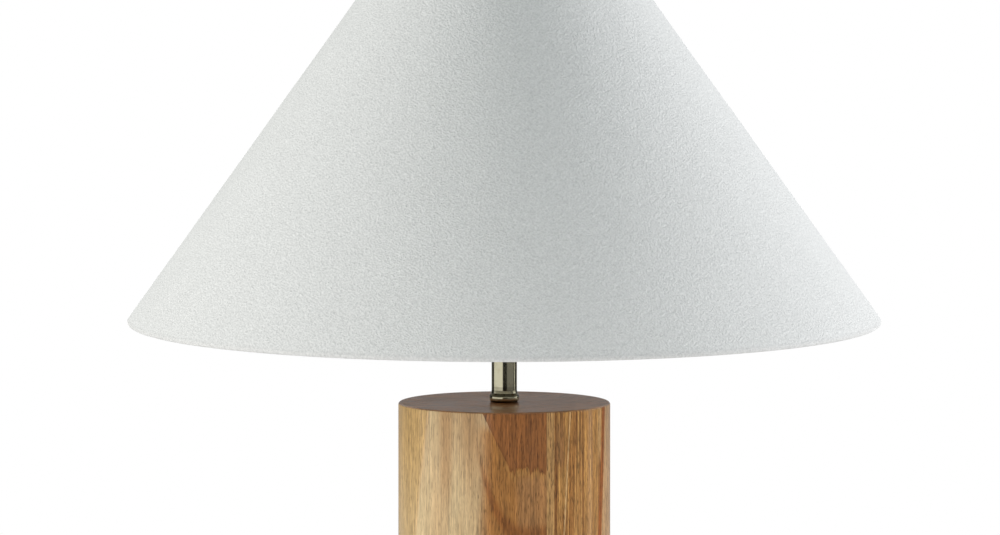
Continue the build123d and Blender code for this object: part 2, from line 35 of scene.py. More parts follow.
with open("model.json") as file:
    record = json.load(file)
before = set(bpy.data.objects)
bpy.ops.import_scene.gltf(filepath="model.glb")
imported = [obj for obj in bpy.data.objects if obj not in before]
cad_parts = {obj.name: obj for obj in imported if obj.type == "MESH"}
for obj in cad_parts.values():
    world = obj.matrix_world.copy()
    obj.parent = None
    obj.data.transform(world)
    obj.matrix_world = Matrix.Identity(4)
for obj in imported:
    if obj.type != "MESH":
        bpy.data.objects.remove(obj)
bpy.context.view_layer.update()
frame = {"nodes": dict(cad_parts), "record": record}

MM = 0.001
INCH = 25.4 * MM


# ---------------------------------------------------------------- sizes


def foot_of(node):
    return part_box(node)[0].z


def top_of(node):
    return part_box(node)[1].z


def radius_of(node):
    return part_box(node)[1].x


# The column and the brass on it
COLUMN_TOP_MM = top_of("wood_column") / MM
COLUMN_RADIUS_MM = radius_of("wood_column") / MM
BEAD_HEIGHT_MM = (top_of("collar_bead") - foot_of("collar_bead")) / MM

# The shade's wall: a straight slope between the centres of its two rings, as points of radius and height
WIRE_RADIUS = (top_of("bottom_ring") - foot_of("bottom_ring")) / 2
LOW_RING = Vector((radius_of("bottom_ring") - WIRE_RADIUS, foot_of("bottom_ring") + WIRE_RADIUS))
HIGH_RING = Vector((radius_of("top_ring") - WIRE_RADIUS, foot_of("top_ring") + WIRE_RADIUS))
SLOPE = HIGH_RING - LOW_RING
UP_SLOPE = SLOPE.normalized()
OUT_OF_WALL = Vector((UP_SLOPE.y, -UP_SLOPE.x))
CONE_LEAN = atan2(-SLOPE.x, SLOPE.y)

# The shade's cloth: its faces and the liner's inner face, as distances out of the wall, its hem and its seam
CLOTH_OUTSIDE = radius_of("shade_fabric") - LOW_RING.x
CLOTH_THICKNESS = 0.6 * MM
CLOTH_INSIDE = CLOTH_OUTSIDE - CLOTH_THICKNESS
LINER_INSIDE = 0.4 * MM
HEM_WIDTH = 9 * MM
SEAM_WIDTH = 9 * MM
SEAM_RISE = 0.45 * MM

# The cone that the cloth's outside lies on. A turn round it is UNROLL times as much in the flat cut.
APEX_Z = LOW_RING.y + (LOW_RING.x + CLOTH_OUTSIDE / cos(CONE_LEAN)) * SLOPE.y / -SLOPE.x
UNROLL = sin(CONE_LEAN)


# ---------------------------------------------------------------- node formulas


class Field:
    """A value that varies over a surface. Arithmetic on it adds maths nodes to its material."""

    def __init__(self, graph, socket):
        self.graph, self.socket = graph, socket

    def __add__(self, other):
        return self.graph.maths("ADD", self, other)

    def __sub__(self, other):
        return self.graph.maths("SUBTRACT", self, other)

    def __rsub__(self, other):
        return self.graph.maths("SUBTRACT", other, self)

    def __mul__(self, other):
        return self.graph.maths("MULTIPLY", self, other)

    def __truediv__(self, other):
        return self.graph.maths("DIVIDE", self, other)

    def __neg__(self):
        return self.graph.maths("MULTIPLY", self, -1.0)

    __radd__ = __add__
    __rmul__ = __mul__


class Graph:
    """A node tree written as formulas of fields."""

    def __init__(self, tree):
        self.tree = tree
        tree.nodes.clear()

    def node(self, kind, inputs=(), **settings):
        made = self.tree.nodes.new(kind)
        for name, value in settings.items():
            setattr(made, name, value)
        for name, value in dict(inputs).items():
            self.feed(made.inputs[name], value)
        return made

    def feed(self, socket, value):
        if isinstance(value, Field):
            self.tree.links.new(value.socket, socket)
        else:
            socket.default_value = value

    def maths(self, operation, *values):
        made = self.node("ShaderNodeMath", enumerate(values), operation=operation)
        return Field(self, made.outputs[0])

    def split(self, vector):
        made = self.node("ShaderNodeSeparateXYZ", {0: vector})
        return [Field(self, out) for out in made.outputs]

    def join(self, x, y, z):
        return Field(self, self.node("ShaderNodeCombineXYZ", {0: x, 1: y, 2: z}).outputs[0])

    def place(self):
        """Where the surface is at rest, in millimetres."""
        coordinates = self.node("ShaderNodeTexCoord")
        return [part * (1 / MM) for part in self.split(Field(self, coordinates.outputs["Object"]))]

    def length(self, x, y):
        return self.maths("SQRT", x * x + y * y)

    def turn(self, x, y):
        """The angle about the lamp's axis, in radians, from the front towards the right."""
        return self.maths("ARCTAN2", x, -y)

    def ramp(self, value, start, end):
        """0 before start and 1 past end, with a smooth step between. It falls where start is above end."""
        made = self.node(
            "ShaderNodeMapRange",
            {"Value": value, "From Min": start, "From Max": end},
            interpolation_type="SMOOTHSTEP",
        )
        return Field(self, made.outputs[0])

    def band(self, value, low, high, soft):
        """1 between low and high, with a smooth step at both that reaches soft to each side."""
        inside = self.ramp(value, low - soft, low + soft)
        return inside * (1.0 - self.ramp(value, high - soft, high + soft))

    def noise(self, x, y, z, detail=2.0, roughness=0.5):
        """Noise from 0 to 1 with features about one unit wide."""
        made = self.node(
            "ShaderNodeTexNoise",
            {"Vector": self.join(x, y, z), "Scale": 1.0, "Detail": detail, "Roughness": roughness},
        )
        return Field(self, made.outputs[0])

    def mix(self, share, first, second):
        """The first colour where share is 0 and the second where it is 1."""
        made = self.node("ShaderNodeMix", {0: share, 6: first, 7: second}, data_type="RGBA")
        return Field(self, made.outputs[2])

    def shade(self, colour, factor):
        """A colour made lighter or darker by a factor about 1."""
        grey = self.join(factor, factor, factor)
        made = self.node(
            "ShaderNodeMix", {0: 1.0, 6: colour, 7: grey}, data_type="RGBA", blend_type="MULTIPLY"
        )
        return Field(self, made.outputs[2])

    def relief(self, height, depth, over=None):
        """A surface normal from a height of 0 to 1 that stands for depth metres, over another normal."""
        made = self.node("ShaderNodeBump", {"Height": height, "Distance": depth, "Strength": 1.0})
        if over:
            self.feed(made.inputs["Normal"], over)
        return Field(self, made.outputs[0])


def srgb(red, green, blue):
    """A colour as seen on a screen, 0 to 255, as the light that it stands for."""
    def light(value):
        value /= 255
        return value / 12.92 if value <= 0.04045 else ((value + 0.055) / 1.055) ** 2.4

    return light(red), light(green), light(blue), 1.0


MATERIALS = {}


def material(build):
    """Makes the material of the slot that a function is named after. The function gives its sockets."""
    slot = build.__name__
    made = bpy.data.materials.new(slot)
    made.use_nodes = True
    graph = Graph(made.node_tree)
    shader = graph.node("ShaderNodeBsdfPrincipled")
    output = graph.node("ShaderNodeOutputMaterial")
    graph.tree.links.new(shader.outputs[0], output.inputs[0])
    for name, value in build(graph).items():
        graph.feed(shader.inputs[name], value)
    MATERIALS[slot] = made
    return build


# ---------------------------------------------------------------- cloth

THREAD_ANGLE = radians(48)
CLOTH_WHITE = srgb(231, 231, 229)
SHADE_RIM_MM = foot_of("shade_fabric") / MM
# Painted shade along the rolled bottom edge: where it starts and ends in millimetres above the rim, and how
# much darker it makes the cloth
RIM_PAINTED_SHADE_MM = (1.2, 4.2)
RIM_PAINTED_SHADE = 0.17


@material
def shade_cloth(g):
    """Off-white crepe in the flat cut's own coordinates, so that the weave turns round the cone."""
    x, y, z = g.place()
    angle = g.turn(x, y) * UNROLL
    slant = g.length(g.length(x, y), APEX_Z / MM - z)
    flat_x, flat_y = slant * g.maths("SINE", angle), -(slant * g.maths("COSINE", angle))
    along = flat_x * cos(THREAD_ANGLE) + flat_y * sin(THREAD_ANGLE)
    across = flat_y * cos(THREAD_ANGLE) - flat_x * sin(THREAD_ANGLE)
    pebbles = g.noise(along / 1.35, across / 1.05, z / 3, detail=2.0, roughness=0.6)
    crossed = g.noise(along / 0.9, across / 1.8, z / 3, detail=1.5)
    grit = g.noise(along / 0.5, across / 0.5, z / 2, detail=1.0)
    slubs = g.noise(along / 15, across / 1.0, 3.0, detail=1.5)
    cloudy = g.noise(along / 40, across / 30, 5.0, detail=2.0)
    weave = pebbles * 0.6 + crossed * 0.4 + grit * 0.2 + slubs * 0.18
    # The tone follows the weave's relief: partly the threads' own tone, partly painted shade, darker in the
    # weave's dips
    tone = 0.96 + (pebbles - 0.5) * 0.42 + (crossed - 0.5) * 0.28 + (grit - 0.5) * 0.12
    tone = tone + (slubs - 0.5) * 0.06 + (cloudy - 0.5) * 0.04
    # Painted shade: the cloth is darkened towards the rolled bottom edge, where the roll turns under
    painted_rim_shade = 1.0 - g.ramp(z, *(SHADE_RIM_MM + up for up in RIM_PAINTED_SHADE_MM))
    return {
        "Base Color": g.shade(CLOTH_WHITE, tone * (1.0 - painted_rim_shade * RIM_PAINTED_SHADE)),
        "Roughness": 0.92,
        "Sheen Weight": 0.08,
        "Sheen Roughness": 0.5,
        "Specular IOR Level": 0.2,
        "Normal": g.relief(weave, 0.75 * MM),
    }


# ---------------------------------------------------------------- wood

GOLD, STRAW = srgb(174, 141, 89), srgb(187, 164, 125)
SAND, PINK = srgb(175, 143, 102), srgb(161, 126, 84)
HONEY, MIDDLE = srgb(151, 103, 52), srgb(154, 110, 66)
RIM_BROWN, PATCH_BROWN = srgb(127, 75, 31), srgb(133, 84, 43)
ORANGE, AMBER = srgb(143, 98, 49), srgb(170, 126, 69)
UMBER, RED = srgb(108, 67, 31), srgb(132, 70, 18)
SEAM_STRAW, GREYISH = srgb(176, 136, 85), srgb(139, 98, 57)
CREAM, PALE = srgb(196, 160, 112), srgb(166, 130, 88)
END_GRAIN, END_DARK = srgb(142, 92, 48), srgb(94, 57, 29)

# The boards meet at glue seams: one board left of SEAM_X and one right of it in front, and two behind.
# Each draws its grain from another place in the noise.
SEAM_X = 22.8
SEAM_SOFT = 0.15
RIGHT_GRAIN, BACK_GRAIN = 37.0, 71.0

# The figure of the front, in millimetres round the side from its middle and down from the top edge.
# A streak starts at the top edge and slants by its slope.
SLANT = dict(top=-46.0, slope=-0.165)
CREAM_STREAK = dict(top=38.3, slope=-0.062)
RED_STREAK = dict(top=69.5, slope=-0.075)
PATCH = dict(left=-12.1, slope=2.05, bottom=31.4, rounding=10.0)
ARCH = dict(middle=16.0, bottom=66.0, curve=0.00164)
TOOTH_WIDTH, TOOTH_LENGTH = 1.7, 12.0


class ColumnPlace:
    """Where a point of the column is, in millimetres, and which of its boards it is in."""

    def __init__(self, g):
        self.x, self.y, self.z = g.place()
        self.around = g.turn(self.x, self.y) * COLUMN_RADIUS_MM
        self.depth = COLUMN_TOP_MM - self.z
        self.drift = (g.noise(self.x / 8, self.y / 8, self.z / 40) - 0.5) * 3.0
        self.arc = self.around + self.drift
        self.right = g.ramp(self.x, SEAM_X - SEAM_SOFT, SEAM_X + SEAM_SOFT)
        self.behind = g.ramp(self.y, -SEAM_SOFT, SEAM_SOFT)
        self.left_board = (1.0 - self.right) * (1.0 - self.behind)
        self.right_board = self.right * (1.0 - self.behind)
        self.board = self.right * RIGHT_GRAIN + self.behind * BACK_GRAIN

    def right_of(self, streak):
        """How far round the side a point is from a streak."""
        return self.around - (self.depth * streak["slope"] + streak["top"])


def pale_board(g, at):
    """The board at the left: golden outside a slanting line, straw inside it, pinker near the top."""
    broad = g.ramp(g.noise(at.x / 8 + at.board, at.y / 8, at.z / 120), 0.35, 0.65)
    colour = g.mix(broad * 0.6, STRAW, SAND)
    colour = g.mix(g.band(at.arc, -40, 30, 5) * g.ramp(at.depth, 55, 0) * 0.55, colour, PINK)
    colour = g.mix(g.band(at.arc, -36, -30, 2.5) * g.ramp(at.depth, 60, 30) * 0.7, colour, PINK)
    colour = g.mix(g.band(at.arc, -24, -14, 4) * g.ramp(at.depth, 50, 10) * 0.7, colour, PINK)
    beside = at.right_of(SLANT) + at.drift * 0.4
    golden = g.mix(g.ramp(at.depth, 10, 70) * 0.45, GOLD, STRAW)
    colour = g.mix(g.ramp(beside, 0.8, -0.8) * 0.9, colour, golden)
    return g.mix(g.band(beside, -0.3, 1.2, 0.6) * 0.5, colour, CREAM)


def hanging_patch(g, at, colour):
    """A dark patch that hangs from the top edge, inside a honey border and a wider arch."""
    honey = g.band(at.arc, -12.5, 90, 5.0) * at.left_board
    colour = g.mix(honey * g.ramp(at.depth, 4, 12), colour, HONEY)
    below = g.band(at.arc, 7, 90, 3) * g.ramp(at.depth, 30, 38) * at.left_board
    colour = g.mix(below * 0.9, colour, MIDDLE)
    reach = g.maths("ABSOLUTE", at.arc - ARCH["middle"])
    above_arch = ARCH["bottom"] - reach * reach * reach * ARCH["curve"] - at.depth
    colour = g.mix(g.band(above_arch, -6, 4, 3.5) * honey * 0.75, colour, RIM_BROWN)
    slanting = (at.around - PATCH["left"]) * PATCH["slope"]
    smooth_edge = g.maths("SMOOTH_MIN", slanting, PATCH["bottom"], PATCH["rounding"])
    teeth = (g.noise(at.around / TOOTH_WIDTH, 0.0, at.depth / 60) - 0.5) * TOOTH_LENGTH
    teeth = teeth * (0.12 + g.ramp(at.depth, 24, 30))
    above_edge = smooth_edge + teeth - at.depth
    patch = g.ramp(above_edge, -0.3, 0.5) * at.left_board
    colour = g.mix(patch, colour, PATCH_BROWN)
    colour = g.mix(patch * g.ramp(above_edge, 3.0, 0.0) * 0.55, colour, UMBER)
    lighter = g.band(above_edge, -4.0, -0.6, 0.6) * g.ramp(at.depth, 26, 31) * at.left_board
    return g.mix(lighter * 0.35, colour, AMBER)


def striped_board(g, at, colour):
    """The board right of the front's glue seam, with narrow stripes and a few streaks of its own."""
    fine = g.ramp(g.noise(at.x / 2.6, at.y / 2.6, at.z / 110), 0.40, 0.60)
    narrow = g.ramp(g.noise(at.x / 1.3 + 9.0, at.y / 1.3, at.z / 90), 0.44, 0.62)
    stripes = g.mix(narrow * 0.75, g.mix(fine, ORANGE, AMBER), UMBER)
    colour = g.mix(at.right_board, colour, stripes)
    colour = g.mix(g.band(at.around, 22, 28, 0.6) * at.right_board * 0.8, colour, SEAM_STRAW)
    colour = g.mix(g.band(at.around, 29, 34.5, 1.2) * g.band(at.depth, 5, 29, 5) * 0.7, colour, GREYISH)
    colour = g.mix(g.band(at.arc, 32, 37, 1.5) * g.band(at.depth, 32, 54, 4) * 0.7, colour, AMBER)
    colour = g.mix(g.band(at.arc, 49, 61, 2.5) * 0.5, colour, AMBER)
    cream = g.band(at.right_of(CREAM_STREAK), -0.4, 0.4, 0.35) * at.right_board
    colour = g.mix(cream * 0.75, colour, CREAM)
    beside_red = at.right_of(RED_STREAK)
    colour = g.mix(g.ramp(beside_red, 0.5, 3.0) * at.right_board, colour, PALE)
    colour = g.mix(g.band(beside_red, -2.3, 1.8, 0.9) * at.right_board * 0.9, colour, RED)
    last_stripe = g.band(at.around, 61.5, 65.5, 0.8) * g.ramp(at.depth, 34, 18) * at.right_board
    return g.mix(last_stripe, colour, SEAM_STRAW)


def grain_tone(g, at, streaks, pores):
    """How much the grain and the glue in the seams lighten or darken the side, about 1."""
    lines = g.noise(at.x + at.board, at.y, at.z / 45, detail=3.0, roughness=0.65)
    threads = g.noise(at.x / 0.85, at.y / 0.85, at.z / 20 + at.board, detail=1.5)
    dashes = g.ramp(g.noise(at.x / 0.5, at.y / 0.5, at.z / 4, detail=1.0), 0.56, 0.70) * at.right_board
    strength = 1.15 + g.band(at.arc, -13, 90, 3.5) * at.left_board * 0.75 + at.right_board * 0.9
    strength = strength + g.ramp(at.right_of(SLANT), 0.8, -0.8) * 0.45
    figure = (lines - 0.5) * 0.8 + (streaks - 0.5) * 0.7 + (threads - 0.5) * 0.5
    tone = g.maths("MAXIMUM", 1.0 + figure * strength, 0.35)
    tone = tone * (1.07 - pores * strength * 0.26) * (1.02 - dashes * 0.34)
    glue = g.band(at.x, SEAM_X - 0.1, SEAM_X + 0.1, 0.12) + g.band(at.y, -0.1, 0.1, 0.12)
    return tone * (1.0 - glue * 0.3)


def end_grain(g, at):
    """The top face: long arcs of the growth rings, darker where it drank the lacquer."""
    ring_x = at.x + at.right * 60 + 20
    ring_y = at.y + at.behind * 90 - 150
    rings = g.length(ring_x, ring_y) + at.drift
    ring_tone = g.noise(rings / 2.6, 0.0, at.board, detail=2.5, roughness=0.6)
    rays = g.noise(at.x / 24, at.y / 15, 2.0, detail=3.5, roughness=0.6)
    return g.shade(g.mix(g.ramp(ring_tone, 0.3, 0.7), END_GRAIN, END_DARK), 0.1 + rays * 1.9)


@material
def wood(g):
    """Glossy lacquered column, glued up from boards, with the figure that its front shows."""
    at = ColumnPlace(g)
    streaks = g.noise(at.x / 0.6, at.y / 0.6, at.z / 7, detail=2.0, roughness=0.6)
    pores = g.ramp(g.noise(at.x / 0.5, at.y / 0.5, at.z / 4.5 + at.board, detail=1.0), 0.55, 0.70)
    side = striped_board(g, at, hanging_patch(g, at, pale_board(g, at)))
    side = g.shade(side, grain_tone(g, at, streaks, pores))
    on_top = g.ramp(at.z, COLUMN_TOP_MM - 0.75, COLUMN_TOP_MM - 0.35)
    wave = g.noise(at.x / 6, at.y / 6, at.z / 20, detail=1.0)
    worn = g.noise(at.x / 22, at.y / 13, at.z / 60, detail=2.5)
    near_side = g.ramp(g.length(at.x, at.y), COLUMN_RADIUS_MM - 0.9, COLUMN_RADIUS_MM - 0.7)
    rounded_edge = near_side * g.ramp(at.depth, 0.9, 0.7)
    return {
        "Base Color": g.mix(on_top, side, end_grain(g, at)),
        "Roughness": 0.42 + pores * 0.15,
        "Specular IOR Level": 0.25,
        "Coat Weight": 0.45 + (worn - 0.5) * 1.0 + rounded_edge * 0.55,
        "Coat Roughness": 0.10,
        "Normal": g.relief(pores * -0.4 + streaks * 0.2 + wave * 0.6, 0.05 * MM),
    }


# ---------------------------------------------------------------- metals

# The finial's stud: 27 threads per inch, from the hub's washer up
STUD_RADIUS_MM = 3.2
STUD_PITCH_MM = INCH / 27 / MM
STUD_FOOT_MM, STUD_TOP_MM = foot_of("hub_washer") / MM, top_of("harp_stud") / MM
STUD_THREAD_DEPTH = 0.35 * MM
# The dark colour of the aged brass's painted shade
PAINTED_SHADE_COLOUR = (0.035, 0.03, 0.018, 1)


def metal(g, colour, stain, roughness, clouds, marks):
    """Metal stained in clouds of a size in millimetres, with turning marks of a depth in metres."""
    x, y, z = g.place()
    stained = g.ramp(g.noise(x / clouds, y / clouds, z / clouds, detail=3.0), 0.42, 0.75)
    turned_marks = g.noise(x / 2.5, y / 2.5, z / 0.12, detail=1.0)
    return {
        "Base Color": g.mix(stained * 0.35, colour, stain),
        "Metallic": 1.0,
        "Roughness": roughness + stained * 0.12,
        "Normal": g.relief(turned_marks, marks),
    }


@material
def aged_brass(g):
    """Polished antique brass, with painted shade over the bead's upper half, the flare above it and the
    bead's foot.
    """
    made = metal(g, (0.57, 0.535, 0.385, 1), (0.34, 0.28, 0.16, 1), 0.11, clouds=5.0, marks=0.004 * MM)
    _, _, z = g.place()
    rise = z - COLUMN_TOP_MM
    # Painted shade: the bead's upper half, the flare above it and a fainter band higher up stand in for the
    # dark reflection of the shade's inside; the bead's foot stands in for the shade where it meets the wood
    painted_shade = g.band(rise, BEAD_HEIGHT_MM * 0.66, BEAD_HEIGHT_MM * 1.06, 0.35)
    painted_shade = painted_shade + g.band(rise, BEAD_HEIGHT_MM * 1.1, BEAD_HEIGHT_MM * 1.38, 0.3) * 0.6
    painted_shade = painted_shade + g.band(rise, BEAD_HEIGHT_MM * 1.4, BEAD_HEIGHT_MM * 1.75, 0.3) * 0.3
    painted_shade = painted_shade + g.ramp(rise, BEAD_HEIGHT_MM * 0.30, BEAD_HEIGHT_MM * 0.16)
    made["Base Color"] = g.mix(painted_shade * 0.92, made["Base Color"], PAINTED_SHADE_COLOUR)
    return made


def stud_thread(g):
    """Height of a right-hand thread about the lamp's axis, level away from the stud."""
    x, y, z = g.place()
    turns = g.maths("ARCTAN2", y, x) / (2 * pi)
    wave = g.maths("PINGPONG", g.maths("FRACT", z / STUD_PITCH_MM - turns), 0.5) * 2.0
    on_stud = g.ramp(g.length(x, y), STUD_RADIUS_MM + 0.3, STUD_RADIUS_MM + 0.1)
    return wave * on_stud * g.band(z, STUD_FOOT_MM + 0.5, STUD_TOP_MM - 0.3, 0.3)


@material
def brass(g):
    """Bright brass, with the thread of the finial's stud."""
    made = metal(g, (0.83, 0.62, 0.28, 1), (0.60, 0.40, 0.16, 1), 0.20, clouds=6.0, marks=0.006 * MM)
    made["Normal"] = g.relief(stud_thread(g), STUD_THREAD_DEPTH, over=made["Normal"])
    return made


@material
def spider_brass(g):
    return metal(g, (0.78, 0.60, 0.30, 1), (0.50, 0.36, 0.16, 1), 0.26, clouds=4.0, marks=0.006 * MM)


@material
def steel(g):
    return metal(g, (0.66, 0.66, 0.62, 1), (0.52, 0.50, 0.42, 1), 0.32, clouds=3.0, marks=0.01 * MM)


@material
def aluminium(g):
    return metal(g, (0.80, 0.80, 0.79, 1), (0.62, 0.62, 0.60, 1), 0.28, clouds=4.0, marks=0.006 * MM)


@material
def solder(g):
    return metal(g, (0.62, 0.62, 0.60, 1), (0.40, 0.40, 0.38, 1), 0.42, clouds=1.2, marks=0.03 * MM)


@material
def cast_iron(g):
    x, y, z = g.place()
    pits = g.noise(x / 0.8, y / 0.8, z / 0.8, detail=3.0)
    return {
        "Base Color": g.mix(pits, (0.05, 0.05, 0.055, 1), (0.12, 0.11, 0.10, 1)),
        "Metallic": 0.8,
        "Roughness": 0.5 + pits * 0.3,
        "Normal": g.relief(pits, 0.25 * MM),
    }


# ---------------------------------------------------------------- paint, felt, plastics and glass


def skinned(g, first, second, roughness, rougher, size, depth):
    """Two near colours mottled in spots of a size in millimetres, with a relief of a depth in metres."""
    x, y, z = g.place()
    skin = g.noise(x / size, y / size, z / size, detail=2.0)
    return {
        "Base Color": g.mix(skin, first, second),
        "Roughness": roughness + skin * rougher,
        "Normal": g.relief(skin, depth),
    }


@material
def ring_wire(g):
    """White paint on the shade's rings."""
    return skinned(g, srgb(226, 226, 222), srgb(206, 205, 198), 0.35, 0.20, size=0.9, depth=0.05 * MM)


@material
def black_plastic(g):
    return skinned(g, srgb(24, 24, 25), srgb(38, 38, 40), 0.42, 0.12, size=0.5, depth=0.05 * MM)


@material
def phenolic(g):
    return skinned(g, srgb(20, 17, 15), srgb(36, 29, 24), 0.22, 0.12, size=1.6, depth=0.02 * MM)


@material
def fibre_card(g):
    return skinned(g, srgb(150, 118, 84), srgb(176, 146, 108), 0.7, 0.12, size=0.4, depth=0.06 * MM)


@material
def styrene(g):
    return skinned(g, srgb(236, 236, 230), srgb(228, 227, 219), 0.38, 0.12, size=9.0, depth=0.12 * MM)


@material
def frosted_glass(g):
    """The bulb's glass, frosted inside and smooth outside."""
    made = skinned(g, srgb(246, 246, 243), srgb(236, 236, 232), 0.22, 0.10, size=0.5, depth=0.01 * MM)
    made["Subsurface Weight"] = 0.3
    made["Subsurface Radius"] = (0.01, 0.01, 0.01)
    made["Coat Weight"] = 0.6
    made["Coat Roughness"] = 0.06
    return made


@material
def felt(g):
    x, y, z = g.place()
    fibres = g.noise(x / 0.35, y / 0.35, z / 0.35, detail=3.0, roughness=0.7)
    tufts = g.noise(x / 3, y / 3, z / 3, detail=2.0)
    return {
        "Base Color": g.mix(fibres * 0.6 + tufts * 0.4, srgb(52, 62, 50), srgb(90, 102, 84)),
        "Roughness": 0.95,
        "Sheen Weight": 0.3,
        "Normal": g.relief(fibres, 0.4 * MM),
    }


# ---------------------------------------------------------------- meshes

SHARP_ANGLE = radians(38)


def mesh_object(name, points, faces, slot):
    mesh = bpy.data.meshes.new(name)
    mesh.from_pydata(points, [], faces)
    mesh.validate()
    mesh.shade_smooth()
    mesh.set_sharp_from_angle(angle=SHARP_ANGLE)
    mesh.materials.append(MATERIALS[slot])
    made = bpy.data.objects.new(name, mesh)
    bpy.context.scene.collection.objects.link(made)
    return made


def turned(name, slot, outline, angles, shift):
    """A closed outline of radius and height turned about the axis; shift moves each point outwards."""
    count = len(outline)
    points = []
    for angle in angles:
        for step, (radius, height) in enumerate(outline):
            out = radius + shift(step, angle, radius, height)
            points.append((out * sin(angle), -out * cos(angle), height))
    faces = []
    for turn in range(len(angles)):
        here, there = turn * count, (turn + 1) % len(angles) * count
        for step in range(count):
            after = (step + 1) % count
            faces.append((here + step, there + step, there + after, here + after))
    return mesh_object(name, points, faces, slot)


def steps(first, last, count):
    """Evenly spaced numbers from first up to last, without last."""
    return [first + (last - first) * i / count for i in range(count)]


# ---------------------------------------------------------------- shade

CLOTH_SEGMENTS = 480
CLOTH_ROWS = 90
ROLL_STEPS = 14
UNEVENNESS = 0.18 * MM
WAVES_ROUND = 6
WAVES_UP = 30

# The seam is at the back. Its upper layer starts at a cut edge and runs down onto the layer beneath.
SEAM_AT = 3 * pi
SEAM_SEGMENTS = 60
SEAM_CUT_EDGE = 0.5 * MM
SEAM_FADE = 3 * MM


def on_wall(out, along):
    """A point of the wall's section, by its distance out of the wall and up its slope."""
    return LOW_RING + OUT_OF_WALL * out + UP_SLOPE * along


def rolled(centre, radius, first, last):
    """Part of a turn round a ring, as angles from straight out of the wall towards up the slope."""
    turns = steps(radians(first), radians(last), ROLL_STEPS)
    return [on_wall(radius * cos(turn), centre + radius * sin(turn)) for turn in turns]


def cloth_outline():
    """The section of the cloth: outside face, both rolls, both hems and the inside face."""
    outside, inside, top = CLOTH_OUTSIDE, CLOTH_INSIDE, SLOPE.length
    hem_inside, hem_outside = LINER_INSIDE - CLOTH_THICKNESS, LINER_INSIDE
    outline = [on_wall(outside, along) for along in steps(0, top, CLOTH_ROWS)]
    outline += rolled(top, outside, 0, 180)
    outline += [on_wall(-outside, top)]
    outline += [on_wall(hem_inside, top - HEM_WIDTH), on_wall(hem_outside, top - HEM_WIDTH)]
    outline += rolled(top, inside, 180, 0)
    outline += [on_wall(inside, along) for along in steps(top, 0, CLOTH_ROWS)]
    outline += rolled(0, inside, 0, -180)
    outline += [on_wall(-inside, 0)]
    outline += [on_wall(hem_outside, HEM_WIDTH), on_wall(hem_inside, HEM_WIDTH)]
    outline += rolled(0, outside, -180, 0)
    return outline


def cloth_angles():
    """Even steps once round the shade, closer together across the seam."""
    half = SEAM_WIDTH / LOW_RING.x
    wide = steps(SEAM_AT + half - 2 * pi, SEAM_AT - half, CLOTH_SEGMENTS)
    return wide + steps(SEAM_AT - half, SEAM_AT + half, SEAM_SEGMENTS)


def cloth_shift(step, angle, radius, height):
    """Slight unevenness of the laminated cloth, and the glued overlap at the back."""
    where = Vector((sin(angle) * WAVES_ROUND, cos(angle) * WAVES_ROUND, height * WAVES_UP))
    out = UNEVENNESS * noise.noise(where)
    across = (angle - SEAM_AT) * radius
    on_outside = step < CLOTH_ROWS + ROLL_STEPS
    if on_outside and abs(across) < SEAM_WIDTH / 2:
        from_cut, from_fade = SEAM_WIDTH / 2 - across, SEAM_WIDTH / 2 + across
        out += SEAM_RISE * min(1.0, from_cut / SEAM_CUT_EDGE, from_fade / SEAM_FADE)
    return out


cloth = turned("shade_cloth", "shade_cloth", cloth_outline(), cloth_angles(), cloth_shift)
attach(cloth, "shade")
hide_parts("shade_fabric")


# ---------------------------------------------------------------- bulb base

BASE_FOOT, BASE_TOP = foot_of("bulb_base"), top_of("bulb_base")
BASE_RADIUS, TIP_RADIUS = radius_of("bulb_base"), radius_of("bulb_tip")
BASE_WALL = 0.9 * MM
CONE_TOP = BASE_FOOT + 3.5 * MM
BASE_ROWS = 76
BASE_SEGMENTS = 144
THREAD_PITCH = INCH / 7
THREAD_DEPTH = 0.75 * MM
THREAD_END = 1.6 * MM


def base_outline():
    """The section of the bulb's screw base: its cone, the wall that the thread is in, and its inside."""
    outline = [(TIP_RADIUS, BASE_FOOT)]
    outline += [(BASE_RADIUS, height) for height in steps(CONE_TOP, BASE_TOP, BASE_ROWS)]
    outline += [(BASE_RADIUS, BASE_TOP), (BASE_RADIUS - BASE_WALL, BASE_TOP)]
    outline += [(BASE_RADIUS - BASE_WALL, CONE_TOP + BASE_WALL / 2), (TIP_RADIUS, BASE_FOOT + BASE_WALL)]
    return outline


def thread_shift(step, angle, radius, height):
    """A rolled right-hand thread that runs out at both ends of the wall."""
    on_wall_outside = 1 <= step <= BASE_ROWS
    if not on_wall_outside:
        return 0.0
    from_ends = min(height - CONE_TOP, BASE_TOP - THREAD_END - height)
    share = max(0.0, min(1.0, from_ends / THREAD_END))
    groove = 0.5 + 0.5 * cos(2 * pi * (height / THREAD_PITCH) - angle)
    return -THREAD_DEPTH * groove * share


base_angles = steps(0, 2 * pi, BASE_SEGMENTS)
threaded_base = turned("bulb_screw_base", "aluminium", base_outline(), base_angles, thread_shift)
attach(threaded_base, "bulb")
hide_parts("bulb_base")


# ---------------------------------------------------------------- carried-over nodes

for part in frame["record"]["subparts"]:
    node = frame["nodes"][part["node"]]
    node.data.materials.clear()
    node.data.materials.append(MATERIALS[part["material_slot"]])


# ---------------------------------------------------------------- floor

FLOOR_RADIUS = 1.2
FLOOR_RINGS = 24
FLOOR_SEGMENTS = 96
FLOOR_FADE_MM = (220.0, 860.0)
FLOOR_GREY = (0.86, 0.86, 0.86, 1)
WHITE = (1, 1, 1, 1)


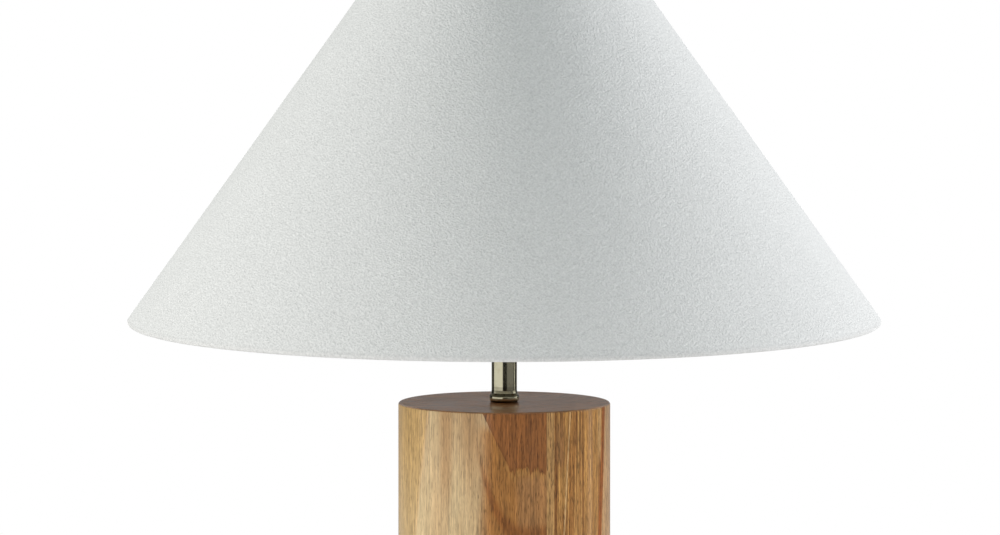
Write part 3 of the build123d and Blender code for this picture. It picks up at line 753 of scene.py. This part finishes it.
def floor_mesh():
    """A disc of rings about its centre."""
    points, faces = [(0, 0, 0)], []
    for ring in range(1, FLOOR_RINGS + 1):
        radius = FLOOR_RADIUS * ring / FLOOR_RINGS
        points += [(radius * cos(a), radius * sin(a), 0) for a in steps(0, 2 * pi, FLOOR_SEGMENTS)]
    for i in range(FLOOR_SEGMENTS):
        after = (i + 1) % FLOOR_SEGMENTS
        faces.append((0, 1 + i, 1 + after))
        for ring in range(FLOOR_RINGS - 1):
            low, high = 1 + ring * FLOOR_SEGMENTS, 1 + (ring + 1) * FLOOR_SEGMENTS
            faces.append((low + i, high + i, high + after, low + after))
    mesh = bpy.data.meshes.new("floor")
    mesh.from_pydata(points, [], faces)
    return mesh


def floor_material():
    """Matte and pale, and glowing more and more white towards its edge."""
    made = bpy.data.materials.new("floor")
    made.use_nodes = True
    g = Graph(made.node_tree)
    x, y, _ = g.place()
    far = g.ramp(g.length(x, y), *FLOOR_FADE_MM)
    matte = g.node("ShaderNodeBsdfDiffuse", {"Color": FLOOR_GREY})
    glow = g.node("ShaderNodeEmission", {"Color": WHITE})
    both = g.node("ShaderNodeMixShader", {0: far * 0.75 + 0.25})
    output = g.node("ShaderNodeOutputMaterial")
    g.tree.links.new(matte.outputs[0], both.inputs[1])
    g.tree.links.new(glow.outputs[0], both.inputs[2])
    g.tree.links.new(both.outputs[0], output.inputs[0])
    return made


def make_floor():
    """A pale disc that fades into the white surroundings towards its edge."""
    floor = bpy.data.objects.new("floor", floor_mesh())
    floor.data.materials.append(floor_material())
    bpy.context.scene.collection.objects.link(floor)


# ---------------------------------------------------------------- world and lights

AMBIENT = 0.395
AMBIENT_TINT = (0.90, 1.0, 1.02)

# Upright panels of the studio: from and to in degrees round from the front, softness, and brightness
PANELS = ((-106, -14, 3, 0.96), (25, 94, 6, 0.21), (104, 112, 2, 1.0))


def studio_brightness(g, turn, height):
    """What polish shows: dark surroundings with bright panels, by degrees round and degrees up."""
    studio = 0.02 + g.ramp(height, 55, 75) * 0.5
    for first, last, soft, brightness in PANELS:
        studio = studio + g.band(turn, first, last, soft) * brightness
    low_right = g.band(turn, 86, 130, 4) * g.band(height, 5, 30, 3)
    back = g.ramp(g.maths("ABSOLUTE", turn), 135, 150) * g.ramp(height, 40, 25)
    return studio + low_right * 1.2 + back * 0.25


def make_world():
    """White behind the lamp, an even cool ambient light, and a studio that only polish shows."""
    world = bpy.data.worlds.new("studio")
    bpy.context.scene.world = world
    world.use_nodes = True
    g = Graph(world.node_tree)
    x, y, z = g.split(Field(g, g.node("ShaderNodeTexCoord").outputs["Generated"]))
    studio = studio_brightness(g, g.turn(x, y) * degrees(1), g.maths("ARCSINE", z) * degrees(1))
    rays = g.node("ShaderNodeLightPath")
    ambient = tuple(AMBIENT * tint for tint in AMBIENT_TINT) + (1.0,)
    colour = g.mix(Field(g, rays.outputs["Is Glossy Ray"]), ambient, g.join(studio, studio, studio))
    colour = g.mix(Field(g, rays.outputs["Is Camera Ray"]), colour, WHITE)
    background = g.node("ShaderNodeBackground", {"Color": colour, "Strength": 1.0})
    output = g.node("ShaderNodeOutputWorld")
    g.tree.links.new(background.outputs[0], output.inputs[0])


def softbox(name, azimuth, elevation, distance, aim_height, size, power, tint):
    """A soft light round the lamp that neither the camera nor polish sees. Angles are in degrees."""
    turn, rise = radians(azimuth), radians(elevation)
    way = Vector((sin(turn) * cos(rise), -cos(turn) * cos(rise), sin(rise)))
    data = bpy.data.lights.new(name, "AREA")
    data.shape = "RECTANGLE"
    data.size, data.size_y = size
    data.energy, data.color = power, tint
    light = bpy.data.objects.new(name, data)
    bpy.context.scene.collection.objects.link(light)
    light.location = Vector((0, 0, aim_height)) + way * distance
    light.rotation_euler = way.to_track_quat("Z", "Y").to_euler()
    light.visible_camera = False
    light.visible_glossy = False


BIG_BOX = dict(elevation=8, distance=2.4, aim_height=0.36, size=(1.3, 1.3))
LOW_STRIP = dict(elevation=0, distance=0.9, aim_height=0.06, size=(1.0, 0.1))

make_floor()
make_world()
softbox("left_light", azimuth=-80, power=38.6, tint=(1.03, 1.0, 0.97), **BIG_BOX)
softbox("right_light", azimuth=100, power=47.2, tint=(1.02, 1.005, 1.03), **BIG_BOX)
softbox("low_fill", azimuth=0, power=1.8, tint=(1.05, 1.0, 0.98), **LOW_STRIP)


# ---------------------------------------------------------------- camera

# The photograph's view. The sensor's width is in Blender's own unit, and cancels out.
CAMERA_ELEVATION = radians(5.56)
CAMERA_DISTANCE = 11.0
CAMERA_TARGET = Vector((-0.0023, 0.0, 0.2907))
VIEW_WIDTH = 0.539
SENSOR_WIDTH = 36.0


def make_camera():
    data = bpy.data.cameras.new("camera")
    data.sensor_width = SENSOR_WIDTH
    data.lens = SENSOR_WIDTH * CAMERA_DISTANCE / VIEW_WIDTH
    data.clip_end = 4 * CAMERA_DISTANCE
    camera = bpy.data.objects.new("camera", data)
    bpy.context.scene.collection.objects.link(camera)
    towards_camera = Vector((0, -cos(CAMERA_ELEVATION), sin(CAMERA_ELEVATION)))
    camera.location = CAMERA_TARGET + towards_camera * CAMERA_DISTANCE
    camera.rotation_euler = towards_camera.to_track_quat("Z", "Y").to_euler()
    return camera


bpy.context.scene.camera = make_camera()
bpy.context.scene.view_settings.view_transform = "Standard"
bpy.context.scene.view_settings.look = "None"
